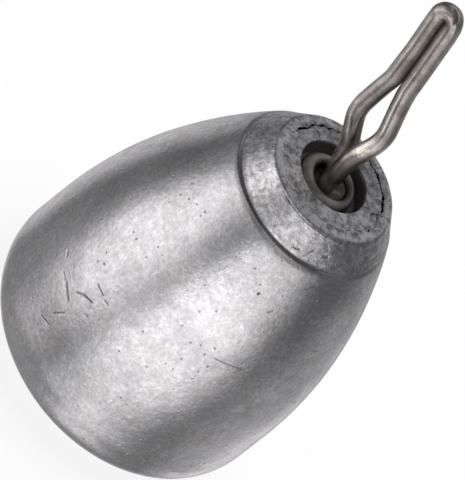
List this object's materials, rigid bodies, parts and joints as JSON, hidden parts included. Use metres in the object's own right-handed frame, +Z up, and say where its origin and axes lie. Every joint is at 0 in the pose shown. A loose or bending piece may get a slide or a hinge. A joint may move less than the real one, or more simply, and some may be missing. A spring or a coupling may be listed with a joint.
{
  "type": "fishing sinker",
  "caption": "Egg-shaped drop-shot fishing sinker with a flat base, a stepped collar and a swivelling bent-wire line clip in its nose.",
  "frame": {"origin": "middle of the flat base", "axes": "+Z up along the weight's axis towards the clip; the clip's flat side faces -Y and at rest the clip leans towards -X"},
  "size_m": [0.0131, 0.013, 0.0265],
  "materials": {
    "cast_weight": "satin, as cast",
    "plated_barrel": "dull plated",
    "clip_wire": "satin",
    "bead_brass": "dull"
  },
  "bodies": {
    "weight": {"sinker_body": "cast_weight", "bore_sleeve": "cast_weight"},
    "swivel": {"swivel_barrel": "plated_barrel"},
    "clip": {"line_clip": "clip_wire", "stop_bead": "bead_brass"}
  },
  "joints": [
    {"name": "swivel_turn", "type": "hinge", "parent": "weight", "child": "swivel", "pos_m": [0, 0, 0.0138], "axis": [0, 0, 1], "continuous": true},
    {"name": "clip_rock", "type": "hinge", "parent": "swivel", "child": "clip", "pos_m": [0, 0, 0.01495], "axis": [0, 1, 0], "range_deg": [0, 23.3]}
  ]
}
